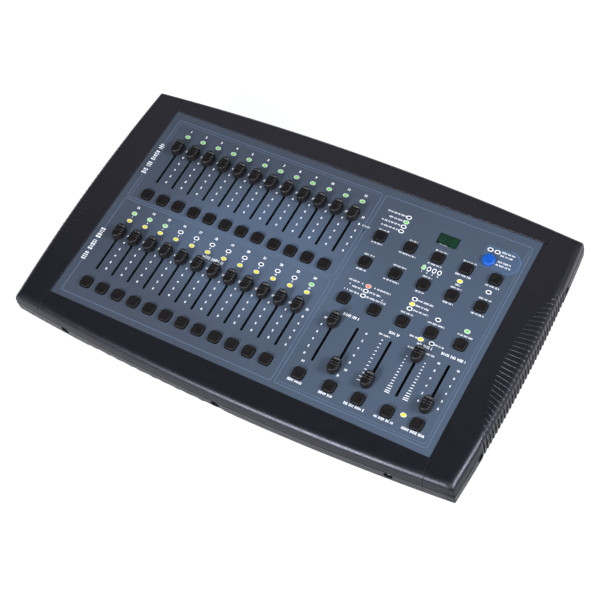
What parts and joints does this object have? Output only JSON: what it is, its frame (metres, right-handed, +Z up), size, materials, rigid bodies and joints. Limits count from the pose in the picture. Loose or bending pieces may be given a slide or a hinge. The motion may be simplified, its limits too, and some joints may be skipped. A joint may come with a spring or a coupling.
{
  "type": "lighting control desk",
  "caption": "Sloping lighting control desk with two banks of channel faders, a master section, square keys and a black moulded frame round a slate-blue panel.",
  "frame": {"origin": "on the ground under the middle of the desk's bounding box", "axes": "+X to the operator's right along the desk's length, +Y back from the front edge to the sockets, +Z up"},
  "size_m": [0.526, 0.321, 0.0868],
  "materials": {
    "panel_blue": "slate blue semi-matt paint with a printed legend",
    "frame_black": "satin black moulded plastic",
    "cap_black": "matt black moulded plastic",
    "sheet_black": "black powder coat on folded steel",
    "window_green": "dark green tinted gloss window",
    "board_green": "green solder resist",
    "button_blue": "bright blue satin plastic",
    "socket_black": "black socket body",
    "socket_metal": "nickel-plated shell",
    "foot_rubber": "black rubber"
  },
  "bodies": {
    "desk": {"face_panel": "panel_blue", "front_rail": "frame_black", "rear_rail": "frame_black", "left_cheek": "frame_black", "right_cheek": "frame_black", "base_tray": "sheet_black", "rear_panel": "sheet_black", "display_window": "window_green", "display_module": "socket_black", "fader_board_a": "board_green", "fader_board_b": "board_green", "master_board": "board_green", "power_switch_body": "socket_black", "dc_inlet": "socket_black", "dmx_socket": "socket_metal", "midi_in_socket": "socket_black", "midi_thru_socket": "socket_black", "midi_out_socket": "socket_black", "audio_jack": "socket_metal", "foot_front_left": "foot_rubber", "foot_front_right": "foot_rubber", "foot_rear_left": "foot_rubber", "foot_rear_right": "foot_rubber"},
    "fader_a01": {"fader_a01": "cap_black"},
    "fader_a02": {"fader_a02": "cap_black"},
    "fader_a03": {"fader_a03": "cap_black"},
    "fader_a04": {"fader_a04": "cap_black"},
    "fader_a05": {"fader_a05": "cap_black"},
    "fader_a06": {"fader_a06": "cap_black"},
    "fader_a07": {"fader_a07": "cap_black"},
    "fader_a08": {"fader_a08": "cap_black"},
    "fader_a09": {"fader_a09": "cap_black"},
    "fader_a10": {"fader_a10": "cap_black"},
    "fader_a11": {"fader_a11": "cap_black"},
    "fader_a12": {"fader_a12": "cap_black"},
    "fader_b01": {"fader_b01": "cap_black"},
    "fader_b02": {"fader_b02": "cap_black"},
    "fader_b03": {"fader_b03": "cap_black"},
    "fader_b04": {"fader_b04": "cap_black"},
    "fader_b05": {"fader_b05": "cap_black"},
    "fader_b06": {"fader_b06": "cap_black"},
    "fader_b07": {"fader_b07": "cap_black"},
    "fader_b08": {"fader_b08": "cap_black"},
    "fader_b09": {"fader_b09": "cap_black"},
    "fader_b10": {"fader_b10": "cap_black"},
    "fader_b11": {"fader_b11": "cap_black"},
    "fader_b12": {"fader_b12": "cap_black"},
    "master_a_fader": {"master_a_fader": "cap_black"},
    "master_b_fader": {"master_b_fader": "cap_black"},
    "fade_fader": {"fade_fader": "cap_black"},
    "speed_fader": {"speed_fader": "cap_black"},
    "audio_fader": {"audio_fader": "cap_black"},
    "flash_keys_a": {"flash_keys_a": "cap_black"},
    "flash_keys_b": {"flash_keys_b": "cap_black"},
    "function_keys_1": {"function_keys_1": "cap_black"},
    "function_keys_2": {"function_keys_2": "cap_black"},
    "function_keys_3": {"function_keys_3": "cap_black"},
    "function_keys_4": {"function_keys_4": "cap_black"},
    "fog_button": {"fog_button": "button_blue"},
    "power_rocker": {"power_rocker": "cap_black"}
  },
  "joints": [
    {"name": "fader_a01_slide", "type": "slide", "parent": "desk", "child": "fader_a01", "axis": [0, 0.9925, 0.1219], "range_m": [-0.045, 0]},
    {"name": "fader_a02_slide", "type": "slide", "parent": "desk", "child": "fader_a02", "axis": [0, 0.9925, 0.1219], "range_m": [-0.045, 0]},
    {"name": "fader_a03_slide", "type": "slide", "parent": "desk", "child": "fader_a03", "axis": [0, 0.9925, 0.1219], "range_m": [-0.045, 0]},
    {"name": "fader_a04_slide", "type": "slide", "parent": "desk", "child": "fader_a04", "axis": [0, 0.9925, 0.1219], "range_m": [-0.045, 0]},
    {"name": "fader_a05_slide", "type": "slide", "parent": "desk", "child": "fader_a05", "axis": [0, 0.9925, 0.1219], "range_m": [-0.045, 0]},
    {"name": "fader_a06_slide", "type": "slide", "parent": "desk", "child": "fader_a06", "axis": [0, 0.9925, 0.1219], "range_m": [-0.045, 0]},
    {"name": "fader_a07_slide", "type": "slide", "parent": "desk", "child": "fader_a07", "axis": [0, 0.9925, 0.1219], "range_m": [-0.045, 0]},
    {"name": "fader_a08_slide", "type": "slide", "parent": "desk", "child": "fader_a08", "axis": [0, 0.9925, 0.1219], "range_m": [-0.045, 0]},
    {"name": "fader_a09_slide", "type": "slide", "parent": "desk", "child": "fader_a09", "axis": [0, 0.9925, 0.1219], "range_m": [-0.045, 0]},
    {"name": "fader_a10_slide", "type": "slide", "parent": "desk", "child": "fader_a10", "axis": [0, 0.9925, 0.1219], "range_m": [-0.045, 0]},
    {"name": "fader_a11_slide", "type": "slide", "parent": "desk", "child": "fader_a11", "axis": [0, 0.9925, 0.1219], "range_m": [-0.045, 0]},
    {"name": "fader_a12_slide", "type": "slide", "parent": "desk", "child": "fader_a12", "axis": [0, 0.9925, 0.1219], "range_m": [-0.045, 0]},
    {"name": "fader_b01_slide", "type": "slide", "parent": "desk", "child": "fader_b01", "axis": [0, 0.9925, 0.1219], "range_m": [-0.045, 0]},
    {"name": "fader_b02_slide", "type": "slide", "parent": "desk", "child": "fader_b02", "axis": [0, 0.9925, 0.1219], "range_m": [-0.045, 0]},
    {"name": "fader_b03_slide", "type": "slide", "parent": "desk", "child": "fader_b03", "axis": [0, 0.9925, 0.1219], "range_m": [-0.045, 0]},
    {"name": "fader_b04_slide", "type": "slide", "parent": "desk", "child": "fader_b04", "axis": [0, 0.9925, 0.1219], "range_m": [-0.045, 0]},
    {"name": "fader_b05_slide", "type": "slide", "parent": "desk", "child": "fader_b05", "axis": [0, 0.9925, 0.1219], "range_m": [-0.045, 0]},
    {"name": "fader_b06_slide", "type": "slide", "parent": "desk", "child": "fader_b06", "axis": [0, 0.9925, 0.1219], "range_m": [-0.045, 0]},
    {"name": "fader_b07_slide", "type": "slide", "parent": "desk", "child": "fader_b07", "axis": [0, 0.9925, 0.1219], "range_m": [-0.045, 0]},
    {"name": "fader_b08_slide", "type": "slide", "parent": "desk", "child": "fader_b08", "axis": [0, 0.9925, 0.1219], "range_m": [-0.045, 0]},
    {"name": "fader_b09_slide", "type": "slide", "parent": "desk", "child": "fader_b09", "axis": [0, 0.9925, 0.1219], "range_m": [-0.045, 0]},
    {"name": "fader_b10_slide", "type": "slide", "parent": "desk", "child": "fader_b10", "axis": [0, 0.9925, 0.1219], "range_m": [-0.045, 0]},
    {"name": "fader_b11_slide", "type": "slide", "parent": "desk", "child": "fader_b11", "axis": [0, 0.9925, 0.1219], "range_m": [-0.045, 0]},
    {"name": "fader_b12_slide", "type": "slide", "parent": "desk", "child": "fader_b12", "axis": [0, 0.9925, 0.1219], "range_m": [-0.045, 0]},
    {"name": "master_a_fader_slide", "type": "slide", "parent": "desk", "child": "master_a_fader", "axis": [0, 0.9925, 0.1219], "range_m": [-0.045, 0]},
    {"name": "master_b_fader_slide", "type": "slide", "parent": "desk", "child": "master_b_fader", "axis": [0, 0.9925, 0.1219], "range_m": [0, 0.045]},
    {"name": "fade_fader_slide", "type": "slide", "parent": "desk", "child": "fade_fader", "axis": [0, 0.9925, 0.1219], "range_m": [0, 0.045]},
    {"name": "speed_fader_slide", "type": "slide", "parent": "desk", "child": "speed_fader", "axis": [0, 0.9925, 0.1219], "range_m": [-0.045, 0]},
    {"name": "audio_fader_slide", "type": "slide", "parent": "desk", "child": "audio_fader", "axis": [0, 0.9925, 0.1219], "range_m": [0, 0.045]},
    {"name": "flash_keys_a_press", "type": "slide", "parent": "desk", "child": "flash_keys_a", "axis": [0, -0.1219, 0.9925], "range_m": [-0.0012, 0], "stiffness_N_per_m": 900, "springref_m": 0.0004},
    {"name": "flash_keys_b_press", "type": "slide", "parent": "desk", "child": "flash_keys_b", "axis": [0, -0.1219, 0.9925], "range_m": [-0.0012, 0], "stiffness_N_per_m": 900, "springref_m": 0.0004},
    {"name": "function_keys_1_press", "type": "slide", "parent": "desk", "child": "function_keys_1", "axis": [0, -0.1219, 0.9925], "range_m": [-0.0012, 0], "stiffness_N_per_m": 700, "springref_m": 0.0004},
    {"name": "function_keys_2_press", "type": "slide", "parent": "desk", "child": "function_keys_2", "axis": [0, -0.1219, 0.9925], "range_m": [-0.0012, 0], "stiffness_N_per_m": 700, "springref_m": 0.0004},
    {"name": "function_keys_3_press", "type": "slide", "parent": "desk", "child": "function_keys_3", "axis": [0, -0.1219, 0.9925], "range_m": [-0.0012, 0], "stiffness_N_per_m": 700, "springref_m": 0.0004},
    {"name": "function_keys_4_press", "type": "slide", "parent": "desk", "child": "function_keys_4", "axis": [0, -0.1219, 0.9925], "range_m": [-0.0012, 0], "stiffness_N_per_m": 700, "springref_m": 0.0004},
    {"name": "fog_button_press", "type": "slide", "parent": "desk", "child": "fog_button", "axis": [0, -0.1219, 0.9925], "range_m": [-0.0012, 0], "stiffness_N_per_m": 500, "springref_m": 0.0004},
    {"name": "power_rocker_tilt", "type": "hinge", "parent": "desk", "child": "power_rocker", "pos_m": [-0.205, 0.13598, 0.04], "axis": [1, 0, 0], "range_deg": [-20, 0]}
  ]
}
